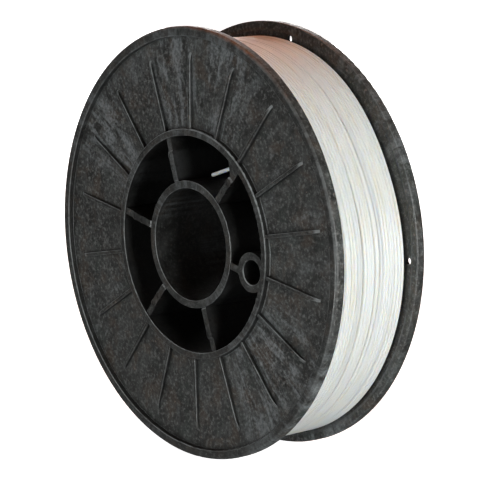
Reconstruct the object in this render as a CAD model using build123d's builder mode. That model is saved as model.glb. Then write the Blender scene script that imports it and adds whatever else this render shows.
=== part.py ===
"""Moulded plastic filament spool, 200 mm size, wound with 1.75 mm filament.

Two injection-moulded halves meet on the middle plane of the drum. Each half is one moulding: a
ribbed flange with a thick rim, half of the drum, half of the spoked hub and half of the bore.
The filament is one strand: its start is held in the hub, its end in a hole of the rear flange.

Frame: millimetres, +Z up. The origin is the middle of the bore, and the spool turns about Y.
The front flange faces -Y. Angles are about Y, from +X towards +Z. "Out" is the distance from
the middle plane towards the outer face of a half, which is at side -1 (front) or +1 (rear).
"""

from build123d import *
from math import atan2, cos, degrees, radians, sin
import os

FRONT = -1
REAR = 1

# Overall size
SPOOL_WIDTH = 53.0
FLANGE_RADIUS = 100.0
HALF_WIDTH = SPOOL_WIDTH / 2

# Flange
RIM_THICKNESS = 5.0
RIM_INNER_RADIUS = 95.5
RIM_OUTER_ROUND = 1.5
RIM_INNER_ROUND = 0.7
RIM_BEVEL = 1.4
DISC_RECESS = 2.7
DISC_THICKNESS = 1.7
FOOT_ROUND = 0.5
RIM_FOOT_ROUND = 0.2
RIM_FACE_OUT = HALF_WIDTH - RIM_THICKNESS
DISC_OUTER_OUT = HALF_WIDTH - DISC_RECESS
DISC_INNER_OUT = DISC_OUTER_OUT - DISC_THICKNESS

# Drum, whose outer end stands proud of the disc as a ring, and bore tube
DRUM_RADIUS = 53.5
DRUM_BORE_RADIUS = 50.2
RING_ROUND = 0.6
BORE_TUBE_RADIUS = 29.6
BORE_RADIUS = 26.0
BORE_LINE_PLACE = 2.7
BORE_LINE_WIDTH = 0.4
BORE_LINE_DEPTH = 0.12
TUBE_ROUND = 0.4
WALL_OVERLAP = 1.0

# Driving hole
DRIVE_ANGLE = -8.5
DRIVE_POSITION_RADIUS = 44.3
DRIVE_HOLE_RADIUS = 5.7
DRIVE_TUBE_RADIUS = 9.1
DRIVE_MOUTH_ROUND = 0.4

# Ribs on the outer face of the disc, one of them in line with the driving hole
RIB_COUNT = 18
RIB_WIDTH = 1.8
RIB_ROOT_HEIGHT = 1.9
RIB_TIP_HEIGHT = 1.4
RIB_RAMP_RADIUS = 82.0
RIB_CURVE = (85.7, 0.98)
RIB_END_RADIUS = 88.0
RIB_ROUND = 0.4

# Spokes between the bore tube and the drum, with ejector pads on their edges
SPOKE_COUNT = 6
SPOKE_ANGLE = 49.2
SPOKE_THICKNESS = 3.2
SPOKE_STEP_RADIUS = 43.6
SPOKE_STEP_DEPTH = 0.8
PAD_RADII = (36.5, 42.0)
PAD_RADIUS = 1.8
PAD_LENGTH = 1.5
PAD_MARK_RADIUS = 1.3
PAD_MARK_DEPTH = 0.25

# Tongues and grooves where the halves meet, in the middle of the bore tube and drum walls
TONGUE_RADII = (27.7, 52.0)
TONGUE_WALL = 1.2
TONGUE_LENGTH = 2.5
JOINT_CLEARANCE = 0.1

# Gusset beside the first spoke, with the slanted hole for the start of the filament
GUSSET_LENGTH = 7.5
GUSSET_WIDTH = 5.5
GUSSET_TOE = 0.5
GUSSET_INNER_OUT = 16.7
START_HOLE_RADIUS = 1.6
START_HOLE_SKIP = 12.0
START_HOLE_LENGTH = 16.5

# Start of the filament, straight from its cut tip in the hub into the drum wall
FILAMENT_DIAMETER = 1.75
START_OUT = 20.4
START_TIP = (9.6, 32.8)
START_ANGLE = 18.4
START_LENGTH = 25.5

# Winding, slightly eccentric because its loose outer turns hang down
WINDING_RADIUS = 93.2
WINDING_DROP = 1.7
WINDING_GAP = 0.1
WINDING_EDGE_ROUND = 1.2

# Holes near the rim of the rear flange; the last one holds the end of the filament
ANCHOR_RADIUS = 93.6
ANCHOR_HOLE_RADIUS = 1.65
ANCHOR_ANGLES = (0.0, 81.8, 163.6)
END_RADIUS = 94.0
END_LEAD_ANGLE = 9.5
END_TURN_OUT = 17.0
END_BEND_RADIUS = 4.0
END_TIP_OUT = 26.2


def radial_plane(side, angle):
    """Plane through the axis: x points out radially, y points out along the axis."""
    spread_x = cos(radians(angle))
    spread_z = sin(radians(angle))
    normal = (-side * spread_z, 0, side * spread_x)
    return Plane(origin=(0, 0, 0), x_dir=(spread_x, 0, spread_z), z_dir=normal)


def end_plane(side, out, radius=0.0, angle=0.0):
    """Plane square to the axis at a place on a half: x points out radially, z out along the axis."""
    spread_x = cos(radians(angle))
    spread_z = sin(radians(angle))
    place = (radius * spread_x, side * out, radius * spread_z)
    return Plane(origin=place, x_dir=(spread_x, 0, spread_z), z_dir=(0, side, 0))


def spoke_angles():
    return [SPOKE_ANGLE + 360 / SPOKE_COUNT * index for index in range(SPOKE_COUNT)]


def round_corners(section, corners):
    """Round the corners of a section nearest to the given (radius, out) points."""
    for point, radius in corners:
        fillet(section.vertices().sort_by_distance(point)[0], radius)


def flange_and_drum(side):
    """Rim, disc, hub ring and drum wall of one half, turned as one section."""
    bevel_radius = RIM_INNER_RADIUS + RIM_BEVEL
    with BuildSketch(radial_plane(side, 0)) as section:
        with BuildLine():
            Polyline(
                (DRUM_BORE_RADIUS, 0),
                (DRUM_BORE_RADIUS, HALF_WIDTH),
                (DRUM_RADIUS, HALF_WIDTH),
                (DRUM_RADIUS, DISC_OUTER_OUT),
                (RIM_INNER_RADIUS, DISC_OUTER_OUT),
                (RIM_INNER_RADIUS, HALF_WIDTH),
                (FLANGE_RADIUS, HALF_WIDTH),
                (FLANGE_RADIUS, RIM_FACE_OUT),
                (bevel_radius, RIM_FACE_OUT),
                (RIM_INNER_RADIUS, DISC_INNER_OUT),
                (DRUM_RADIUS, DISC_INNER_OUT),
                (DRUM_RADIUS, 0),
                close=True,
            )
        make_face()
        corners = [
            ((DRUM_BORE_RADIUS, HALF_WIDTH), TUBE_ROUND),
            ((DRUM_RADIUS, HALF_WIDTH), RING_ROUND),
            ((DRUM_RADIUS, DISC_OUTER_OUT), FOOT_ROUND),
            ((RIM_INNER_RADIUS, DISC_OUTER_OUT), RIM_FOOT_ROUND),
            ((RIM_INNER_RADIUS, HALF_WIDTH), RING_ROUND),
            ((FLANGE_RADIUS, HALF_WIDTH), RIM_OUTER_ROUND),
            ((FLANGE_RADIUS, RIM_FACE_OUT), RIM_INNER_ROUND),
            ((DRUM_RADIUS, DISC_INNER_OUT), FOOT_ROUND),
        ]
        round_corners(section, corners)
    revolve(section.sketch, axis=Axis.Y)


def bore_tube(side):
    """Bore tube of one half, with a fine line turned into the bore near its mouth."""
    line_out = HALF_WIDTH - BORE_LINE_PLACE
    with BuildSketch(radial_plane(side, 0)) as section:
        with BuildLine():
            Polyline(
                (BORE_RADIUS, 0),
                (BORE_RADIUS, line_out - BORE_LINE_WIDTH),
                (BORE_RADIUS + BORE_LINE_DEPTH, line_out - BORE_LINE_WIDTH),
                (BORE_RADIUS + BORE_LINE_DEPTH, line_out),
                (BORE_RADIUS, line_out),
                (BORE_RADIUS, HALF_WIDTH),
                (BORE_TUBE_RADIUS, HALF_WIDTH),
                (BORE_TUBE_RADIUS, 0),
                close=True,
            )
        make_face()
        corners = [
            ((BORE_RADIUS, HALF_WIDTH), TUBE_ROUND),
            ((BORE_TUBE_RADIUS, HALF_WIDTH), TUBE_ROUND),
        ]
        round_corners(section, corners)
    revolve(section.sketch, axis=Axis.Y)


def spokes(side):
    """Six webs from the bore tube to the drum, lower near the ring, with ejector pads."""
    root_radius = BORE_TUBE_RADIUS - WALL_OVERLAP
    tip_radius = DRUM_BORE_RADIUS + WALL_OVERLAP
    low_out = HALF_WIDTH - SPOKE_STEP_DEPTH
    for angle in spoke_angles():
        with BuildSketch(radial_plane(side, angle)) as web:
            with BuildLine():
                Polyline(
                    (root_radius, 0),
                    (root_radius, HALF_WIDTH - TUBE_ROUND),
                    (BORE_TUBE_RADIUS, HALF_WIDTH - TUBE_ROUND),
                    (BORE_TUBE_RADIUS + 2 * TUBE_ROUND, HALF_WIDTH),
                    (SPOKE_STEP_RADIUS, HALF_WIDTH),
                    (SPOKE_STEP_RADIUS + SPOKE_STEP_DEPTH, low_out),
                    (tip_radius, low_out),
                    (tip_radius, 0),
                    close=True,
                )
            make_face()
        extrude(web.sketch, amount=SPOKE_THICKNESS / 2, both=True)
        for radius in PAD_RADII:
            with BuildSketch(end_plane(side, HALF_WIDTH, radius, angle)) as pad:
                Circle(PAD_RADIUS)
            extrude(pad.sketch, amount=-PAD_LENGTH)
            with BuildSketch(end_plane(side, HALF_WIDTH, radius, angle)) as mark:
                Circle(PAD_MARK_RADIUS)
            extrude(mark.sketch, amount=-PAD_MARK_DEPTH, mode=Mode.SUBTRACT)


def drive_tube(side):
    """Tube of the driving hole, merged with the drum wall, and the hole through it."""
    with BuildSketch(end_plane(side, 0, DRIVE_POSITION_RADIUS, DRIVE_ANGLE)) as tube:
        Circle(DRIVE_TUBE_RADIUS)
        with Locations((-DRIVE_POSITION_RADIUS, 0)):
            Circle(DRUM_BORE_RADIUS + WALL_OVERLAP, mode=Mode.INTERSECT)
    extrude(tube.sketch, amount=HALF_WIDTH)
    with BuildSketch(end_plane(side, 0, DRIVE_POSITION_RADIUS, DRIVE_ANGLE)) as hole:
        Circle(DRIVE_HOLE_RADIUS)
    extrude(hole.sketch, amount=HALF_WIDTH, mode=Mode.SUBTRACT)
    mouth_wide = DRIVE_HOLE_RADIUS + DRIVE_MOUTH_ROUND
    with BuildSketch(end_plane(side, HALF_WIDTH, DRIVE_POSITION_RADIUS, DRIVE_ANGLE)) as mouth:
        Circle(mouth_wide)
    extrude(mouth.sketch, amount=-DRIVE_MOUTH_ROUND, taper=45, mode=Mode.SUBTRACT)


def ribs(side):
    """Radial ribs from the hub ring towards the rim, each running down to the disc in a curve."""
    root_radius = DRUM_RADIUS - WALL_OVERLAP
    root_out = DISC_OUTER_OUT + RIB_ROOT_HEIGHT
    tip_out = DISC_OUTER_OUT + RIB_TIP_HEIGHT
    sunk_out = DISC_OUTER_OUT - FOOT_ROUND
    tip = (RIB_RAMP_RADIUS, tip_out)
    curve = (RIB_CURVE[0], DISC_OUTER_OUT + RIB_CURVE[1])
    end = (RIB_END_RADIUS, DISC_OUTER_OUT)
    with BuildPart(mode=Mode.PRIVATE) as rib:
        with BuildSketch(radial_plane(side, 0)) as web:
            with BuildLine():
                Polyline(
                    end,
                    (RIB_END_RADIUS, sunk_out),
                    (root_radius, sunk_out),
                    (root_radius, root_out),
                    tip,
                )
                ThreePointArc(tip, curve, end)
            make_face()
        extrude(web.sketch, amount=RIB_WIDTH / 2, both=True)
        top = rib.faces().sort_by(Axis.Y)[0 if side == FRONT else -1]
        fillet(top.edges().filter_by(Axis.Z, reverse=True), RIB_ROUND)
    for index in range(RIB_COUNT):
        add(rib.part.rotate(Axis.Y, -DRIVE_ANGLE - 360 / RIB_COUNT * index))


def joint_tongues():
    """Two tongues that stand into the rear half, in the bore tube and in the drum wall."""
    for radius in TONGUE_RADII:
        with BuildSketch(end_plane(FRONT, -TONGUE_LENGTH)) as tongue:
            Circle(radius + TONGUE_WALL / 2)
            Circle(radius - TONGUE_WALL / 2, mode=Mode.SUBTRACT)
        extrude(tongue.sketch, amount=TONGUE_LENGTH + WALL_OVERLAP)


def joint_grooves():
    """Grooves that take the tongues, wider and deeper by the clearance."""
    for radius in TONGUE_RADII:
        with BuildSketch(end_plane(REAR, 0)) as groove:
            Circle(radius + TONGUE_WALL / 2 + JOINT_CLEARANCE)
            Circle(radius - TONGUE_WALL / 2 - JOINT_CLEARANCE, mode=Mode.SUBTRACT)
        extrude(groove.sketch, amount=TONGUE_LENGTH + JOINT_CLEARANCE, mode=Mode.SUBTRACT)


def start_plane(skip):
    """Plane square to the start of the filament, a way along it from its cut tip."""
    along_x = cos(radians(START_ANGLE))
    along_z = sin(radians(START_ANGLE))
    place = (START_TIP[0] + skip * along_x, FRONT * START_OUT, START_TIP[1] + skip * along_z)
    return Plane(origin=place, z_dir=(along_x, 0, along_z))


def start_gusset():
    """Gusset between the first spoke and the drum wall, with the slanted hole through both."""
    with BuildSketch(end_plane(FRONT, GUSSET_INNER_OUT, DRUM_BORE_RADIUS, SPOKE_ANGLE)) as corner:
        with BuildLine():
            Polyline(
                (WALL_OVERLAP, 0),
                (WALL_OVERLAP, GUSSET_LENGTH),
                (-GUSSET_TOE, GUSSET_LENGTH),
                (-GUSSET_WIDTH, SPOKE_THICKNESS / 2),
                (-GUSSET_WIDTH, 0),
                close=True,
            )
        make_face()
    extrude(corner.sketch, amount=HALF_WIDTH - SPOKE_STEP_DEPTH - GUSSET_INNER_OUT)
    with BuildSketch(start_plane(START_HOLE_SKIP)) as hole:
        Circle(START_HOLE_RADIUS)
    extrude(hole.sketch, amount=START_HOLE_LENGTH, mode=Mode.SUBTRACT)


def anchor_holes():
    """Holes through the rear disc, just inside its rim, for the end of the filament."""
    for angle in ANCHOR_ANGLES:
        with BuildSketch(end_plane(REAR, RIM_FACE_OUT, ANCHOR_RADIUS, angle)) as hole:
            Circle(ANCHOR_HOLE_RADIUS)
        extrude(hole.sketch, amount=RIM_THICKNESS, mode=Mode.SUBTRACT)


# Front half
with BuildPart() as front_half:
    flange_and_drum(FRONT)
    bore_tube(FRONT)
    spokes(FRONT)
    drive_tube(FRONT)
    ribs(FRONT)
    joint_tongues()
    start_gusset()
front_half.part.label = "front_half"

# Rear half
with BuildPart() as rear_half:
    flange_and_drum(REAR)
    bore_tube(REAR)
    spokes(REAR)
    drive_tube(REAR)
    ribs(REAR)
    joint_grooves()
    anchor_holes()
rear_half.part.label = "rear_half"

# Winding: the whole coil as one plain solid between the discs
winding_out = DISC_INNER_OUT - WINDING_GAP
with BuildPart() as filament_winding:
    with BuildSketch(Plane(origin=(0, -winding_out, -WINDING_DROP), z_dir=(0, 1, 0))):
        Circle(WINDING_RADIUS)
    extrude(amount=2 * winding_out)
    with BuildSketch(end_plane(REAR, -winding_out)):
        Circle(DRUM_RADIUS + WINDING_GAP)
    extrude(amount=2 * winding_out, mode=Mode.SUBTRACT)
    fillet(filament_winding.edges().filter_by(GeomType.CIRCLE), WINDING_EDGE_ROUND)
filament_winding.part.label = "filament_winding"

# Start of the filament, in the hub
with BuildPart() as filament_start_end:
    with BuildSketch(start_plane(0)) as start_section:
        Circle(FILAMENT_DIAMETER / 2)
    extrude(start_section.sketch, amount=START_LENGTH)
filament_start_end.part.label = "filament_start_end"


def end_point(angle):
    """Point on the last stretch of the filament that lies along the winding."""
    return END_RADIUS * cos(radians(angle)), END_TURN_OUT, END_RADIUS * sin(radians(angle))


# End of the filament: along the last turn, then bent out through a hole of the rear flange
bend_angle = ANCHOR_ANGLES[-1] + degrees(atan2(END_BEND_RADIUS, END_RADIUS))
with BuildPart() as filament_outer_end:
    with BuildLine() as end_path:
        lead = ThreePointArc(
            end_point(bend_angle + END_LEAD_ANGLE),
            end_point(bend_angle + END_LEAD_ANGLE / 2),
            end_point(bend_angle),
        )
        bend_end = lead @ 1 + (lead % 1) * END_BEND_RADIUS + Vector(0, END_BEND_RADIUS, 0)
        TangentArc(lead @ 1, bend_end, tangent=lead % 1)
        Line(bend_end, (bend_end.X, END_TIP_OUT, bend_end.Z))
    with BuildSketch(Plane(origin=lead @ 0, z_dir=lead % 0)):
        Circle(FILAMENT_DIAMETER / 2)
    sweep(path=end_path.wire())
filament_outer_end.part.label = "filament_outer_end"

# Export
os.makedirs("parts", exist_ok=True)
export_step(front_half.part, "parts/front_half.step")
export_step(rear_half.part, "parts/rear_half.step")
export_step(filament_winding.part, "parts/filament_winding.step")
export_step(filament_start_end.part, "parts/filament_start_end.step")
export_step(filament_outer_end.part, "parts/filament_outer_end.step")
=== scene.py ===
"""Looks of a 200 mm plastic spool wound with white 1.75 mm filament.

The two moulded halves are the CAD parts, with a streaky recycled-plastic material. The winding is
built here turn by turn: one strand in each outer layer, over a ribbed core. Metres, +Z up. The
spool's axis is Y, and angles are about it, from +X towards +Z.
"""

import math
import random

import bpy
import numpy as np
from mathutils import Matrix, Vector


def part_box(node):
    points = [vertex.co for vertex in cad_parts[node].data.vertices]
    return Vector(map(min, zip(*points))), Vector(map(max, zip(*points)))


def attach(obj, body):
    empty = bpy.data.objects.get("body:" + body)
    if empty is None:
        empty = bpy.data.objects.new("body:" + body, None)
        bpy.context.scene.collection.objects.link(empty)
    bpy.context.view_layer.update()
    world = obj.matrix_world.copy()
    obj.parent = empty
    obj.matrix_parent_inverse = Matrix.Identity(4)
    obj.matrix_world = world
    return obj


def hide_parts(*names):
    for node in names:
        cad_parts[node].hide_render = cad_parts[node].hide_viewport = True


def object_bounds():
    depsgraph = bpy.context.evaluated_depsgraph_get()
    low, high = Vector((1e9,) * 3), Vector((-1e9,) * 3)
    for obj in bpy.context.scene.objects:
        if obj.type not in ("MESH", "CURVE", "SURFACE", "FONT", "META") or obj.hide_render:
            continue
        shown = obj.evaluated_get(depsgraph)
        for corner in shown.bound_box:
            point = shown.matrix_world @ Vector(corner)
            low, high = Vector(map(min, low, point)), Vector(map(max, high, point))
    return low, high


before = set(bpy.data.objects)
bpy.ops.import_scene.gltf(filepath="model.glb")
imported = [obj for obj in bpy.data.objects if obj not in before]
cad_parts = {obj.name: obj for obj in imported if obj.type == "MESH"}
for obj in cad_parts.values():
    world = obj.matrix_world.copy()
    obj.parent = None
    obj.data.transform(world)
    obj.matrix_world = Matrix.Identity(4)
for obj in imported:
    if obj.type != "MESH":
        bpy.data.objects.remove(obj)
CAD_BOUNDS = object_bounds()

# Camera, fitted to the perspective of the spool's circles
CAMERA_AZIMUTH = math.radians(50.17)
CAMERA_ELEVATION = math.radians(10.25)
CAMERA_DISTANCE = 1.031
CAMERA_AIM = (0.0027, -0.00093)
CAMERA_LENS = 165.67
CAMERA_SENSOR = 36.0
CAMERA_CLIP_START = 0.05
CAMERA_BACK = Vector((
    math.sin(CAMERA_AZIMUTH) * math.cos(CAMERA_ELEVATION),
    -math.cos(CAMERA_AZIMUTH) * math.cos(CAMERA_ELEVATION),
    math.sin(CAMERA_ELEVATION),
))
CAMERA_RIGHT = Vector((math.cos(CAMERA_AZIMUTH), math.sin(CAMERA_AZIMUTH), 0))
CAMERA_UP = CAMERA_BACK.cross(CAMERA_RIGHT)

# Filament
STRAND_DIAMETER = 0.00175
STRAND_RADIUS = STRAND_DIAMETER / 2
STRAND_SIDES = 10
# Share of a stretch's direction above which it counts as running along the spool's axis
ALONG_AXIS = 0.95
TURN_STEPS = 150
TURNS_PER_LAYER = 24
LAYER_RISE = 0.00070
LAYER_START = math.radians(173)
# Looseness of the turns and painted warm shade of each outer layer, from the outside in: deeper layers
# are painted warmer, as the shade seen between turns
LAYERS = ((1.0, 0.0), (0.7, 0.7), (0.5, 1.0))
# Turn, place round it, half length and sideways throw (in pitches) of each loose crossing turn
CROSSINGS = ((4, 0.40, 0.12, 0.5), (9, 0.52, 0.14, -0.55), (15, 0.45, 0.10, 0.5), (20, 0.60, 0.12, -0.5))
SEED = 11

# Errors of the turns: sideways in pitches, upward in strand radii
SIDE_ERROR = 0.07
SIDE_WOBBLE = 0.10
RISE_ERROR = 1.0
RISE_SHARE = 0.10
WOBBLE_WAVES = 3
CROSSING_RISE = 0.15
CROSSING_STEEPNESS = 1.4

# Surface of the winding: where it is pulled in (angle and width, in degrees) and how far it hangs
COIL_TOP_RADIUS = 0.0931
PULLED_IN = 0.0022
PULLED_PLACE = (27, 24)
PULLED_BACK_PLACE = (160, 30)
PULLED_BACK_SHARE = 0.6
HANG = 0.0018
COIL_INSET = STRAND_RADIUS + 0.0001
EDGE_GAP = STRAND_RADIUS * 0.05
coil_low, coil_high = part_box("filament_winding")
COIL_HALF_WIDTH = (coil_high.y - coil_low.y) / 2

# Core of the winding
# Painted warm shade of the core, which is only seen deep between the turns
CORE_WARM_SHADE = 1.3
CORE_SIDE_GAP = 0.0004
CORE_DRUM_GAP = 0.0002
CORE_STEPS_PER_TURN = 4
CORE_STEPS_ROUND = 180
DRUM_RADIUS = 0.0535

# Outer end of the strand, hooked through the rear flange
END_RADIUS = 0.0940
END_HOLE_ANGLE = math.radians(163.6)
END_BEND = 0.004
END_LEAD = math.radians(34)
END_DRIFT = 0.0012
END_SETTLING = 1.6
END_LEAD_STEPS = 12
END_BEND_STEPS = 4
END_TIP_STEPS = 3

# Start of the strand, and the cut of both ends
START_BOW = 0.0002
START_INSET = STRAND_RADIUS * 0.95
END_SIDES = 16
END_SMOOTH_STEPS = 60
CUT_EDGE = STRAND_RADIUS * 0.18
CUT_EDGE_SEGMENTS = 2
CUT_EDGE_ANGLE = math.radians(50)

# Spool plastic
DARK_PLASTIC = (0.021, 0.021, 0.020, 1)
GREY_PLASTIC = (0.060, 0.063, 0.061, 1)
BROWN_PLASTIC = (0.072, 0.055, 0.042, 1)
GREEN_PLASTIC = (0.033, 0.043, 0.038, 1)
GRAIN_PLASTIC = (0.150, 0.155, 0.150, 1)
# Colour of the painted highlight on rounded edges
EDGE_HIGHLIGHT_PLASTIC = (0.260, 0.280, 0.285, 1)
# Near black, for the dark grain and for painted shade
DARK_GRAIN_AND_PAINTED_SHADE = (0.005, 0.005, 0.005, 1)
HAZE_PLASTIC = (0.230, 0.250, 0.260, 1)
SPECK_PLASTIC = (0.24, 0.19, 0.16, 1)
PLASTIC_IOR = 1.5
# Scale, detail, roughness and distortion of each pattern in the plastic
PLASTIC_PATTERNS = {
    "clouds": (34.0, 5.0, 0.6, 0.8),
    "tints": (85.0, 4.0, 0.6, 0.5),
    "patches": (150.0, 4.0, 0.65, 0.3),
    "grain": (620.0, 3.0, 0.80),
    "specks": (380.0, 1.0, 0.5),
}
# Pattern, pattern values between which a colour changes, its strength at both, and the colour
PLASTIC_LAYERS = (
    ("patches", (0.36, 0.66), (0.0, 1.0), GREY_PLASTIC),
    ("tints", (0.50, 0.66), (0.0, 0.75), BROWN_PLASTIC),
    ("tints", (0.34, 0.46), (0.55, 0.0), GREEN_PLASTIC),
    ("grain", (0.50, 0.66), (0.0, 0.9), GRAIN_PLASTIC),
    ("grain", (0.34, 0.46), (0.65, 0.0), DARK_GRAIN_AND_PAINTED_SHADE),
)
SPECK_STRENGTH = (0.72, 0.76, 0.0, 0.6)

# Whitish flow marks: angle, full width and fading width, in degrees, of each hazy part of a flange
FRONT_HAZE = ((88, 14, 34), (146, 6, 18), (318, 10, 30))
REAR_HAZE = ((40, 10, 28), (205, 12, 30), (290, 8, 22))
HAZE_STRENGTH = 0.75
HAZE_IN_CLOUDS = (0.50, 0.66, 0.0, 0.45)
HAZE_IN_STREAKS = (0.44, 0.62)
HAZE_IN_GRAIN = (0.34, 0.60, 0.35, 1.0)
HAZE_ROUGHNESS = 0.15
STREAK_PATTERN = (30.0, 7.0, 0.68, 0.7)
STREAKS_ROUND = 0.55
STREAKS_OUTWARD = 1.6
# Each half's node, shift of its patterns and hazy parts
HALVES = (
    ("front_half", (0, 0, 0), FRONT_HAZE),
    ("rear_half", (0.31, 0.17, -0.23), REAR_HAZE),
)

# Painted edge highlights and painted shade of the plastic. A setting of four numbers is a ramp: its
# start and end, in metres or as a share, and the strength at each. With two numbers, the strength goes
# from 0 to 1.
HIGH_FACES_SHADE = (0.0248, 0.0256, 0.0, 0.40)
WALL_FACING = (0.30, 0.60, 1.0, 0.0)
WALL_RADIUS = (0.0968, 0.0978, 1.0, 0.0)
WALL_SHADE = (0.0525, 0.0545, 0.88, 0.70)
BORE_SHADE = (0.0262, 0.0268, 0.75, 1.0)
# Reach, samples and strength of the painted shade in the corners
CORNER_SHADE_REACH = 0.0025
CORNER_SHADE_SAMPLES = 6
CORNER_SHADE_STRENGTH = 0.6
CLEAR_OF_CORNER_SHADE = (0.55, 0.90)
EDGE_FACING = (0.40, 0.62)
FLAT_FACING = (0.94, 0.99, 1.0, 0.0)
# Painted edge highlight: stronger where edges face up, in patches, weaker on the rim
HIGHLIGHT_UPWARD = (-0.35, 0.35, 0.15, 1.0)
HIGHLIGHT_PATCHES = (0.38, 0.60, 0.45, 1.0)
HIGHLIGHT_RIM = (0.0955, 0.0965, 1.0, 0.35)
PLASTIC_ROUGHNESS = (0.30, 0.70, 0.38, 0.55)
# Pattern, height in metres and strength of each layer of bumps
PLASTIC_BUMPS = (("clouds", 0.0005, 0.4), ("patches", 0.00025, 0.5), ("grain", 0.00008, 0.8))

# Filament plastic
CLEAN_FILAMENT = (0.87, 0.875, 0.850)
CREAM_FILAMENT = (0.82, 0.79, 0.71)
COOL_FILAMENT = (0.83, 0.875, 0.87)
WARM_LOSS = (0.0, 0.02, 0.05)
DUST_COLOUR = (0.6, 0.56, 0.5, 1)
BANDS_ALONG = 0.10
BAND_PATTERN = (260.0, 3.0, 0.55, 0.3)
TINT_PATTERN = (95.0, 2.0, 0.5, 0.4)
DUST_PATTERN = (1400.0, 2.0, 0.6)
CREAM_STRENGTH = (0.50, 0.72, 0.0, 0.8)
COOL_STRENGTH = (0.52, 0.70, 0.0, 0.6)
DUST_STRENGTH = (0.62, 0.80, 0.0, 0.15)
FILAMENT_ROUGHNESS = (0.3, 0.7, 0.30, 0.42)
FILAMENT_IOR = 1.46
SUBSURFACE_WEIGHT = 0.6
SUBSURFACE_RADIUS = (1.0, 0.8, 0.6)
SUBSURFACE_SCALE = 0.0020
RIPPLE_HEIGHT = 0.00010
RIPPLE_STRENGTH = 0.35

# Floor
FLOOR_SIZE = 6.0
FLOOR_STEPS = 24
FLOOR_FLAT_SHARE = 0.72
FLOOR_CURVE = 20.0
FLOOR_TONES = ((0.90, 0.90, 0.90, 1), (0.93, 0.93, 0.93, 1))
FLOOR_PATTERN = (3.0, 2.0)
FLOOR_ROUGHNESS = 0.9
WHITE = (1, 1, 1, 1)

# Room light that reaches the spool: height (0 at the bottom, 1 at the top) and colour of each band
WORLD_BELOW = (0.20, (0.36, 0.36, 0.36, 1))
WORLD_SIDE = (0.50, (0.10, 0.10, 0.10, 1))
WORLD_TOP = (0.88, (0.10, 0.06, 0.045, 1))
WORLD_BEHIND = (-0.1, 0.35, 1.0, 0.22)


# ---------------------------------------------------------------- node helpers

class Nodes:
    """A node tree, with short calls to add and join nodes."""

    def __init__(self, tree):
        self.tree = tree
        self.tree.nodes.clear()

    def add(self, kind, **settings):
        node = self.tree.nodes.new(kind)
        for key, value in settings.items():
            setattr(node, key, value)
        return node

    def join(self, source, target):
        self.tree.links.new(source, target)

    def feed(self, value, socket):
        if isinstance(value, bpy.types.NodeSocket):
            self.join(value, socket)
        else:
            socket.default_value = value

    def noise(self, vector, scale, detail=3.0, rough=0.5, distortion=0.0):
        node = self.add("ShaderNodeTexNoise")
        self.join(vector, node.inputs["Vector"])
        node.inputs["Scale"].default_value = scale
        node.inputs["Detail"].default_value = detail
        node.inputs["Roughness"].default_value = rough
        node.inputs["Distortion"].default_value = distortion
        return node.outputs["Fac"]

    def separate(self, vector):
        node = self.add("ShaderNodeSeparateXYZ")
        self.join(vector, node.inputs[0])
        return node.outputs

    def vector_math(self, operation, first, second=None):
        node = self.add("ShaderNodeVectorMath", operation=operation)
        self.join(first, node.inputs[0])
        if second is not None:
            node.inputs[1].default_value = second
        return node.outputs

    def math(self, operation, a, b=0.0):
        node = self.add("ShaderNodeMath", operation=operation)
        for value, socket in zip((a, b), node.inputs):
            self.feed(value, socket)
        return node.outputs[0]

    def product(self, first, *others):
        for other in others:
            first = self.math("MULTIPLY", first, other)
        return first

    def ramp(self, value, low, high, out_low=0.0, out_high=1.0, shape="SMOOTHSTEP"):
        """value from low..high to out_low..out_high, held at the ends."""
        node = self.add("ShaderNodeMapRange", interpolation_type=shape)
        for item, socket in zip((value, low, high, out_low, out_high), node.inputs):
            self.feed(item, socket)
        return node.outputs[0]

    def mix(self, factor, first, second):
        node = self.add("ShaderNodeMix", data_type="RGBA")
        self.feed(factor, node.inputs["Factor"])
        self.feed(first, node.inputs["A"])
        self.feed(second, node.inputs["B"])
        return node.outputs["Result"]

    def bump(self, height, distance, strength, under=None):
        node = self.add("ShaderNodeBump")
        self.feed(height, node.inputs["Height"])
        node.inputs["Distance"].default_value = distance
        node.inputs["Strength"].default_value = strength
        if under is not None:
            self.join(under, node.inputs["Normal"])
        return node.outputs["Normal"]


class MaterialNodes(Nodes):
    """The tree of a new material, with one Principled shader."""

    def __init__(self, name):
        self.material = bpy.data.materials.new(name)
        self.material.use_nodes = True
        super().__init__(self.material.node_tree)
        output = self.add("ShaderNodeOutputMaterial")
        self.shader = self.add("ShaderNodeBsdfPrincipled")
        self.join(self.shader.outputs["BSDF"], output.inputs["Surface"])

    def set(self, socket, value):
        self.feed(value, self.shader.inputs[socket])


# ---------------------------------------------------------------- materials

def polar_coordinates(nodes, position):
    """Sockets for the distance from the spool's axis and for the direction from it, as (x, z)."""
    place = nodes.separate(position)
    flat = nodes.add("ShaderNodeCombineXYZ")
    nodes.join(place["X"], flat.inputs["X"])
    nodes.join(place["Z"], flat.inputs["Y"])
    radius = nodes.vector_math("LENGTH", flat.outputs[0])["Value"]
    direction = nodes.vector_math("NORMALIZE", flat.outputs[0])[0]
    return radius, direction


def sector(nodes, direction, angle, inner, outer):
    """1 within inner degrees of an angle about the axis, falling to 0 at outer degrees."""
    middle = (math.cos(math.radians(angle)), math.sin(math.radians(angle)), 0)
    toward = nodes.vector_math("DOT_PRODUCT", direction, middle)["Value"]
    return nodes.ramp(toward, math.cos(math.radians(outer)), math.cos(math.radians(inner)))


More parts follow.
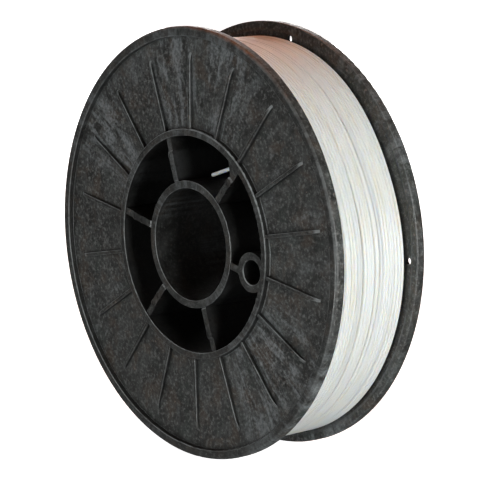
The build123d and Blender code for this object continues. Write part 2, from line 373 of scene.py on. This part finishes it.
def flow_haze(nodes, radius, direction, patterns, haze_angles):
    """Strength of the whitish flow marks: streaks along the radius, in clouds and in some sectors."""
    turn = nodes.separate(direction)
    flow = nodes.add("ShaderNodeCombineXYZ")
    nodes.join(nodes.product(turn["X"], STREAKS_ROUND), flow.inputs["X"])
    nodes.join(nodes.product(turn["Y"], STREAKS_ROUND), flow.inputs["Y"])
    nodes.join(nodes.product(radius, STREAKS_OUTWARD), flow.inputs["Z"])
    streaks = nodes.noise(flow.outputs[0], *STREAK_PATTERN)
    place = nodes.ramp(patterns["clouds"], *HAZE_IN_CLOUDS)
    for angle, inner, outer in haze_angles:
        place = nodes.math("MAXIMUM", place, sector(nodes, direction, angle, inner, outer))
    in_streaks = nodes.ramp(streaks, *HAZE_IN_STREAKS)
    return nodes.product(place, in_streaks, nodes.ramp(patterns["grain"], *HAZE_IN_GRAIN))


def spool_plastic(name, offset, haze_angles):
    """Dark recycled plastic: grainy mottling, brown and green clouds, and whitish flow marks."""
    nodes = MaterialNodes(name)
    coordinates = nodes.add("ShaderNodeTexCoord")
    position = coordinates.outputs["Object"]
    moved = nodes.vector_math("ADD", position, offset)[0]
    patterns = {key: nodes.noise(moved, *setting) for key, setting in PLASTIC_PATTERNS.items()}
    radius, direction = polar_coordinates(nodes, position)

    colour = DARK_PLASTIC
    for pattern, values, strengths, tint in PLASTIC_LAYERS:
        colour = nodes.mix(nodes.ramp(patterns[pattern], *values, *strengths), colour, tint)
    haze = flow_haze(nodes, radius, direction, patterns, haze_angles)
    colour = nodes.mix(nodes.product(haze, HAZE_STRENGTH), colour, HAZE_PLASTIC)
    colour = nodes.mix(nodes.ramp(patterns["specks"], *SPECK_STRENGTH), colour, SPECK_PLASTIC)

    # The highest faces are painted darker than the disc
    depth = nodes.math("ABSOLUTE", nodes.separate(position)["Y"])
    colour = nodes.mix(nodes.ramp(depth, *HIGH_FACES_SHADE), colour, DARK_GRAIN_AND_PAINTED_SHADE)

    # Walls square to the disc get painted shade, strongest in the hub's cells and lighter in the bore,
    # but none on the rim's outer wall
    normal = nodes.separate(coordinates.outputs["Normal"])
    facing = nodes.math("ABSOLUTE", normal["Y"])
    painted_wall_shade = nodes.product(nodes.ramp(facing, *WALL_FACING), nodes.ramp(radius, *WALL_RADIUS))
    strength = nodes.product(nodes.ramp(radius, *WALL_SHADE), nodes.ramp(radius, *BORE_SHADE))
    colour = nodes.mix(nodes.product(painted_wall_shade, strength), colour, DARK_GRAIN_AND_PAINTED_SHADE)

    # Rounded edges get a painted pale highlight, most where they face up, and the corners get painted
    # shade
    openness = nodes.add("ShaderNodeAmbientOcclusion", samples=CORNER_SHADE_SAMPLES)
    openness.inputs["Distance"].default_value = CORNER_SHADE_REACH
    clear = nodes.ramp(openness.outputs["AO"], *CLEAR_OF_CORNER_SHADE)
    painted_edge_highlight = nodes.product(
        nodes.ramp(facing, *EDGE_FACING),
        nodes.ramp(facing, *FLAT_FACING),
        clear,
        nodes.ramp(normal["Z"], *HIGHLIGHT_UPWARD),
        nodes.ramp(patterns["patches"], *HIGHLIGHT_PATCHES),
        nodes.ramp(radius, *HIGHLIGHT_RIM),
    )
    colour = nodes.mix(painted_edge_highlight, colour, EDGE_HIGHLIGHT_PLASTIC)
    # Painted shade in the corners: darker where the ambient occlusion finds them closed in
    painted_corner_shade = nodes.product(nodes.math("SUBTRACT", 1.0, clear), CORNER_SHADE_STRENGTH)
    nodes.set("Base Color", nodes.mix(painted_corner_shade, colour, DARK_GRAIN_AND_PAINTED_SHADE))

    roughness = nodes.ramp(patterns["patches"], *PLASTIC_ROUGHNESS)
    nodes.set("Roughness", nodes.math("ADD", roughness, nodes.product(haze, HAZE_ROUGHNESS)))
    nodes.set("IOR", PLASTIC_IOR)
    surface = None
    for pattern, height, strength in PLASTIC_BUMPS:
        surface = nodes.bump(patterns[pattern], height, strength, surface)
    nodes.set("Normal", surface)
    return nodes.material


def warmed(colour, warm_shade):
    """Filament colour with some of its green and blue taken away."""
    return tuple(value - loss * warm_shade for value, loss in zip(colour, WARM_LOSS)) + (1,)


def filament_plastic(name, warm_shade):
    """White, slightly see-through plastic with cream bands along the turns; lower layers are painted
    warmer, a painted shade seen between turns.
    """
    nodes = MaterialNodes(name)
    position = nodes.add("ShaderNodeTexCoord").outputs["Object"]
    place = nodes.separate(position)
    along = nodes.add("ShaderNodeCombineXYZ")
    nodes.join(nodes.product(place["X"], BANDS_ALONG), along.inputs["X"])
    nodes.join(nodes.product(place["Z"], BANDS_ALONG), along.inputs["Z"])
    nodes.join(place["Y"], along.inputs["Y"])
    bands = nodes.noise(along.outputs[0], *BAND_PATTERN)
    tints = nodes.noise(along.outputs[0], *TINT_PATTERN)
    dust = nodes.noise(position, *DUST_PATTERN)
    colour = warmed(CLEAN_FILAMENT, warm_shade)
    colour = nodes.mix(nodes.ramp(bands, *CREAM_STRENGTH), colour, warmed(CREAM_FILAMENT, warm_shade))
    colour = nodes.mix(nodes.ramp(tints, *COOL_STRENGTH), colour, warmed(COOL_FILAMENT, warm_shade))
    colour = nodes.mix(nodes.ramp(dust, *DUST_STRENGTH), colour, DUST_COLOUR)
    nodes.set("Base Color", colour)
    nodes.set("Roughness", nodes.ramp(dust, *FILAMENT_ROUGHNESS))
    nodes.set("IOR", FILAMENT_IOR)
    nodes.set("Subsurface Weight", SUBSURFACE_WEIGHT)
    nodes.set("Subsurface Radius", SUBSURFACE_RADIUS)
    nodes.set("Subsurface Scale", SUBSURFACE_SCALE)
    nodes.set("Normal", nodes.bump(bands, RIPPLE_HEIGHT, RIPPLE_STRENGTH))
    return nodes.material


# ---------------------------------------------------------------- mesh helpers

def mesh_piece(name, verts, faces, smooth=False):
    """Mesh object in the scene; smooth shades its four-sided faces smooth."""
    mesh = bpy.data.meshes.new(name)
    mesh.from_pydata(verts, [], faces)
    if smooth:
        mesh.polygons.foreach_set("use_smooth", [len(face) == 4 for face in faces])
    mesh.validate()
    mesh.update()
    piece = bpy.data.objects.new(name, mesh)
    bpy.context.scene.collection.objects.link(piece)
    return piece


def tube(name, path, radius, sides):
    """Closed tube round a path of points, with its rings square to the path."""
    path = np.asarray(path, float)
    count = len(path)
    tangent = np.gradient(path, axis=0)
    tangent /= np.linalg.norm(tangent, axis=1)[:, None]
    # The spool's axis gives a steady frame, but for the stretches that run along it
    reference = np.tile(np.array([0.0, 1.0, 0.0]), (count, 1))
    along_axis = np.abs((reference * tangent).sum(1)) > ALONG_AXIS
    reference[along_axis] = (0.0, 0.0, 1.0)
    side = np.cross(tangent, reference)
    side /= np.linalg.norm(side, axis=1)[:, None]
    up = np.cross(side, tangent)
    around = np.arange(sides) * 2 * math.pi / sides
    ring = np.cos(around)[None, :, None] * side[:, None, :]
    ring = ring + np.sin(around)[None, :, None] * up[:, None, :]
    verts = (path[:, None, :] + radius * ring).reshape(-1, 3)
    first = np.arange(count - 1)[:, None] * sides
    here = np.arange(sides)[None, :]
    after = (here + 1) % sides
    faces = np.stack([first + here, first + after, first + sides + after, first + sides + here], axis=2)
    faces = faces.reshape(-1, 4).tolist()
    faces.append(list(range(sides))[::-1])
    faces.append([(count - 1) * sides + index for index in range(sides)])
    return mesh_piece(name, verts.tolist(), faces, smooth=True)


def as_filament(piece, warm_shade, node):
    """Give a piece its filament material, attach it to the root body, and hide the CAD node it stands
    for.
    """
    piece.data.materials.append(filament_plastic(piece.name, warm_shade))
    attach(piece, "root")
    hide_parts(node)


# ---------------------------------------------------------------- winding

def eased(share):
    """Share from 0 to 1, with a soft start and end."""
    return share * share * (3 - 2 * share)


def smooth_noise(rng, waves):
    """Sum of a few random waves round a closed turn, so that it meets itself."""
    phases = [(rng.uniform(0, 2 * math.pi), rng.uniform(0.3, 1.0) / (k + 1)) for k in range(waves)]

    def value(angle):
        return sum(size * math.sin((k + 1) * angle + phase) for k, (phase, size) in enumerate(phases))

    return value


def dip(degrees, place):
    """1 at a place round the spool, falling off over its width."""
    middle, width = place
    return math.exp(-((degrees - middle) / width) ** 2)


def coil_outline(angle, inset):
    """Distance from the axis of the winding's surface: pulled in at both sides, hanging below."""
    turned = math.degrees(math.atan2(math.sin(angle), math.cos(angle)))
    pulled = PULLED_IN * dip(turned, PULLED_PLACE)
    pulled += PULLED_IN * PULLED_BACK_SHARE * dip(abs(turned), PULLED_BACK_PLACE)
    hang = HANG * eased(max(0.0, -math.sin(angle)))
    return COIL_TOP_RADIUS - pulled + hang - inset


def on_coil(distance, angle, across):
    """Point at a distance from the spool's axis, at an angle about it."""
    return distance * math.cos(angle), across, distance * math.sin(angle)


def layer_path(rng, inset, start_side, looseness, crossings):
    """Centre points of one layer: a single strand wound from one flange to the other."""
    reach = COIL_HALF_WIDTH - STRAND_RADIUS - EDGE_GAP
    pitch = 2 * reach / TURNS_PER_LAYER
    # Each turn keeps its own small errors, which fade into those of the next turn
    errors = [(rng.gauss(0, SIDE_ERROR), rng.gauss(0, RISE_ERROR), smooth_noise(rng, WOBBLE_WAVES))
              for _ in range(TURNS_PER_LAYER + 2)]
    points = []
    for step in range(TURNS_PER_LAYER * TURN_STEPS + 1):
        turn = step / TURN_STEPS
        angle = LAYER_START - 2 * math.pi * turn
        share = eased(turn - int(turn))
        here, after = errors[int(turn)], errors[int(turn) + 1]
        side_error = here[0] * (1 - share) + after[0] * share
        rise_error = here[1] * (1 - share) + after[1] * share
        wobble = here[2](angle) * (1 - share) + after[2](angle) * share
        across = -reach + pitch * turn
        ride_over = 0.0
        for crossing, place, length, throw in crossings:
            over = math.exp(-((turn - crossing - place) / length) ** 2)
            across += pitch * throw * over
            ride_over = max(ride_over, over)
        across += pitch * (side_error + SIDE_WOBBLE * wobble) * looseness
        across = max(-reach, min(reach, across)) * start_side
        lift = STRAND_RADIUS * RISE_SHARE * looseness * (rise_error + wobble)
        lift += STRAND_RADIUS * CROSSING_RISE * min(1.0, CROSSING_STEEPNESS * ride_over)
        points.append(on_coil(coil_outline(angle, inset) + lift, angle, across))
    return points


def winding_core(inset):
    """Everything under the outer layers, as one ring whose surface is ribbed like turns."""
    reach = COIL_HALF_WIDTH - CORE_SIDE_GAP
    steps = TURNS_PER_LAYER * CORE_STEPS_PER_TURN
    profile = []
    for step in range(steps + 1):
        rib = abs(math.sin(math.pi * step / CORE_STEPS_PER_TURN))
        profile.append((inset + STRAND_RADIUS * (1 - rib), -reach + 2 * reach * step / steps))
    verts = []
    for step in range(CORE_STEPS_ROUND):
        angle = 2 * math.pi * step / CORE_STEPS_ROUND
        verts += [on_coil(coil_outline(angle, depth), angle, across) for depth, across in profile]
        verts += [on_coil(DRUM_RADIUS + CORE_DRUM_GAP, angle, across) for across in (reach, -reach)]
    ring = len(profile) + 2
    faces = []
    for step in range(CORE_STEPS_ROUND):
        here, after = step * ring, (step + 1) % CORE_STEPS_ROUND * ring
        for index in range(ring):
            beside = (index + 1) % ring
            faces.append((here + index, here + beside, after + beside, after + index))
    return mesh_piece("winding_core", verts, faces)


def build_winding():
    rng = random.Random(SEED)
    core = winding_core(COIL_INSET + LAYER_RISE)
    as_filament(core, CORE_WARM_SHADE, "filament_winding")
    for layer, (looseness, warm_shade) in enumerate(LAYERS):
        crossings = CROSSINGS if layer == 0 else ()
        side = 1 if layer % 2 == 0 else -1
        path = layer_path(rng, COIL_INSET + LAYER_RISE * layer, side, looseness, crossings)
        piece = tube("winding_layer_%d" % (layer + 1), path, STRAND_RADIUS, STRAND_SIDES)
        as_filament(piece, warm_shade, "filament_winding")


# ---------------------------------------------------------------- strand ends

def smooth_line(points, steps):
    """Points on a smooth curve (Catmull-Rom) through the given ones."""
    points = np.array(points, float)
    last = len(points) - 1
    line = []
    for place in np.linspace(0, last, steps):
        i = min(int(place), last - 1)
        u = place - i
        p0, p1, p2, p3 = points[max(i - 1, 0)], points[i], points[i + 1], points[min(i + 2, last)]
        line.append(0.5 * (2 * p1 + (p2 - p0) * u + (2 * p0 - 5 * p1 + 4 * p2 - p3) * u ** 2
                           + (3 * p1 - p0 - 3 * p2 + p3) * u ** 3))
    return line


def strand_piece(name, points, node):
    """Short length of strand on a smooth line through points, with softened cut ends."""
    piece = tube(name, smooth_line(points, END_SMOOTH_STEPS), STRAND_RADIUS, END_SIDES)
    bevel = piece.modifiers.new("cut_edge", "BEVEL")
    bevel.width = CUT_EDGE
    bevel.segments = CUT_EDGE_SEGMENTS
    bevel.limit_method = "ANGLE"
    bevel.angle_limit = CUT_EDGE_ANGLE
    as_filament(piece, 0.0, node)


def build_start_end():
    """The strand's start, a straight stub in the hub."""
    low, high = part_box("filament_start_end")
    tip = Vector((low.x, (low.y + high.y) / 2, low.z + START_INSET))
    root = Vector((high.x, tip.y, high.z - START_INSET))
    middle = (tip + root) / 2 + Vector((0, 0, START_BOW))
    strand_piece("filament_start", [tip, middle, root], "filament_start_end")


def build_outer_end():
    """The strand's outer end: off the winding, round a bend and out through the rear flange."""
    low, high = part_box("filament_outer_end")
    turn_y = low.y + STRAND_RADIUS
    bend_start = END_HOLE_ANGLE + math.atan2(END_BEND, END_RADIUS)
    run = []
    for step in range(END_LEAD_STEPS + 1):
        back = 1 - step / END_LEAD_STEPS
        angle = bend_start + END_LEAD * back
        surface = coil_outline(angle, 0) - STRAND_RADIUS
        distance = surface + (END_RADIUS - surface) * eased(min(1.0, END_SETTLING * (1 - back)))
        run.append(on_coil(distance, angle, turn_y - END_DRIFT * back))
    start = Vector(run[-1])
    tangent = Vector((math.sin(bend_start), 0, -math.cos(bend_start)))
    for step in range(1, END_BEND_STEPS + 1):
        turned = math.pi / 2 * step / END_BEND_STEPS
        outward = Vector((0, END_BEND * (1 - math.cos(turned)), 0))
        run.append(start + tangent * END_BEND * math.sin(turned) + outward)
    last = Vector(run[-1])
    for step in range(1, END_TIP_STEPS + 1):
        run.append((last.x, last.y + (high.y - last.y) * step / END_TIP_STEPS, last.z))
    strand_piece("filament_end", run, "filament_outer_end")


# ---------------------------------------------------------------- stage

def build_stage():
    """White floor that curves up far behind the spool. It lights nothing and isn't mirrored."""
    verts = []
    for step in range(FLOOR_STEPS + 1):
        share = step / FLOOR_STEPS
        rise = max(0.0, share - FLOOR_FLAT_SHARE)
        for x in (-FLOOR_SIZE / 2, FLOOR_SIZE / 2):
            verts.append((x, -FLOOR_SIZE / 2 + FLOOR_SIZE * share, rise * rise * FLOOR_CURVE))
    faces = [(2 * i, 2 * i + 1, 2 * i + 3, 2 * i + 2) for i in range(FLOOR_STEPS)]
    floor = mesh_piece("floor", verts, faces, smooth=True)
    floor.rotation_euler = (0, 0, CAMERA_AZIMUTH)
    floor.location = (0, 0, CAD_BOUNDS[0][2])
    nodes = MaterialNodes("floor_white")
    tone = nodes.noise(nodes.add("ShaderNodeTexCoord").outputs["Object"], *FLOOR_PATTERN)
    nodes.set("Base Color", nodes.mix(tone, *FLOOR_TONES))
    nodes.set("Roughness", FLOOR_ROUGHNESS)
    nodes.set("Emission Color", WHITE)
    nodes.set("Emission Strength", 1.0)
    floor.data.materials.append(nodes.material)
    floor.visible_glossy = False
    floor.visible_diffuse = False


def from_camera(right, up, back):
    """Place given in the camera's directions, from the middle of the spool."""
    return CAMERA_RIGHT * right + CAMERA_UP * up + CAMERA_BACK * back


def area_light(name, place, target, size, power, colour=(1, 1, 1)):
    data = bpy.data.lights.new(name, "AREA")
    data.shape = "RECTANGLE"
    data.size, data.size_y = size
    data.energy = power
    data.color = colour
    lamp = bpy.data.objects.new(name, data)
    bpy.context.scene.collection.objects.link(lamp)
    lamp.location = place
    lamp.rotation_euler = (Vector(target) - Vector(place)).to_track_quat("-Z", "Y").to_euler()


def build_lights():
    """Soft key on the winding, a sheen on the front disc, a warm lamp above and a fill behind."""
    area_light("key", from_camera(0.62, -0.14, 0.85), target=(0.05, 0, 0),
               size=(0.45, 0.40), power=12.6, colour=(0.98, 1.0, 0.98))
    area_light("disc_sheen", (0.12, -0.85, -0.22), target=(0.05, -0.02, 0),
               size=(0.40, 0.35), power=18.0, colour=(0.97, 1.0, 0.99))
    area_light("warm_top", (-0.42, 0.20, 1.00), target=(0, 0, 0.08),
               size=(0.4, 0.4), power=3.4, colour=(1.0, 0.32, 0.12))
    area_light("rear_fill", (-0.9, 1.2, 0.3), target=(0, 0, 0), size=(1.0, 1.0), power=16.0)


def build_world():
    """Dim room, warm overhead; the camera itself sees white behind the spool."""
    world = bpy.data.worlds.new("studio")
    bpy.context.scene.world = world
    world.use_nodes = True
    nodes = Nodes(world.node_tree)
    direction = nodes.separate(nodes.add("ShaderNodeTexCoord").outputs["Generated"])
    height = nodes.ramp(direction["Z"], -1.0, 1.0, shape="LINEAR")
    bands = nodes.add("ShaderNodeValToRGB")
    nodes.join(height, bands.inputs["Fac"])
    stops = bands.color_ramp.elements
    stops[0].position, stops[0].color = WORLD_BELOW
    stops[1].position, stops[1].color = WORLD_TOP
    stops.new(WORLD_SIDE[0]).color = WORLD_SIDE[1]
    room = nodes.add("ShaderNodeBackground")
    nodes.join(bands.outputs["Color"], room.inputs["Color"])
    nodes.join(nodes.ramp(direction["Y"], *WORLD_BEHIND, shape="LINEAR"), room.inputs["Strength"])
    white = nodes.add("ShaderNodeBackground")
    white.inputs["Color"].default_value = WHITE
    mix = nodes.add("ShaderNodeMixShader")
    nodes.join(nodes.add("ShaderNodeLightPath").outputs["Is Camera Ray"], mix.inputs["Fac"])
    nodes.join(room.outputs[0], mix.inputs[1])
    nodes.join(white.outputs[0], mix.inputs[2])
    nodes.join(mix.outputs[0], nodes.add("ShaderNodeOutputWorld").inputs["Surface"])


def build_camera():
    data = bpy.data.cameras.new("camera")
    data.lens = CAMERA_LENS
    data.sensor_width = CAMERA_SENSOR
    data.clip_start = CAMERA_CLIP_START
    camera = bpy.data.objects.new("camera", data)
    bpy.context.scene.collection.objects.link(camera)
    rotation = Matrix((CAMERA_RIGHT, CAMERA_UP, CAMERA_BACK)).transposed()
    place = from_camera(*CAMERA_AIM, CAMERA_DISTANCE)
    camera.matrix_world = Matrix.Translation(place) @ rotation.to_4x4()
    bpy.context.scene.camera = camera


def paint_halves():
    for node, offset, haze_angles in HALVES:
        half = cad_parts[node]
        half.data.materials.clear()
        half.data.materials.append(spool_plastic("plastic_" + node, offset, haze_angles))


bpy.context.scene.view_settings.view_transform = "Standard"
paint_halves()
build_winding()
build_start_end()
build_outer_end()
build_stage()
build_world()
build_lights()
build_camera()
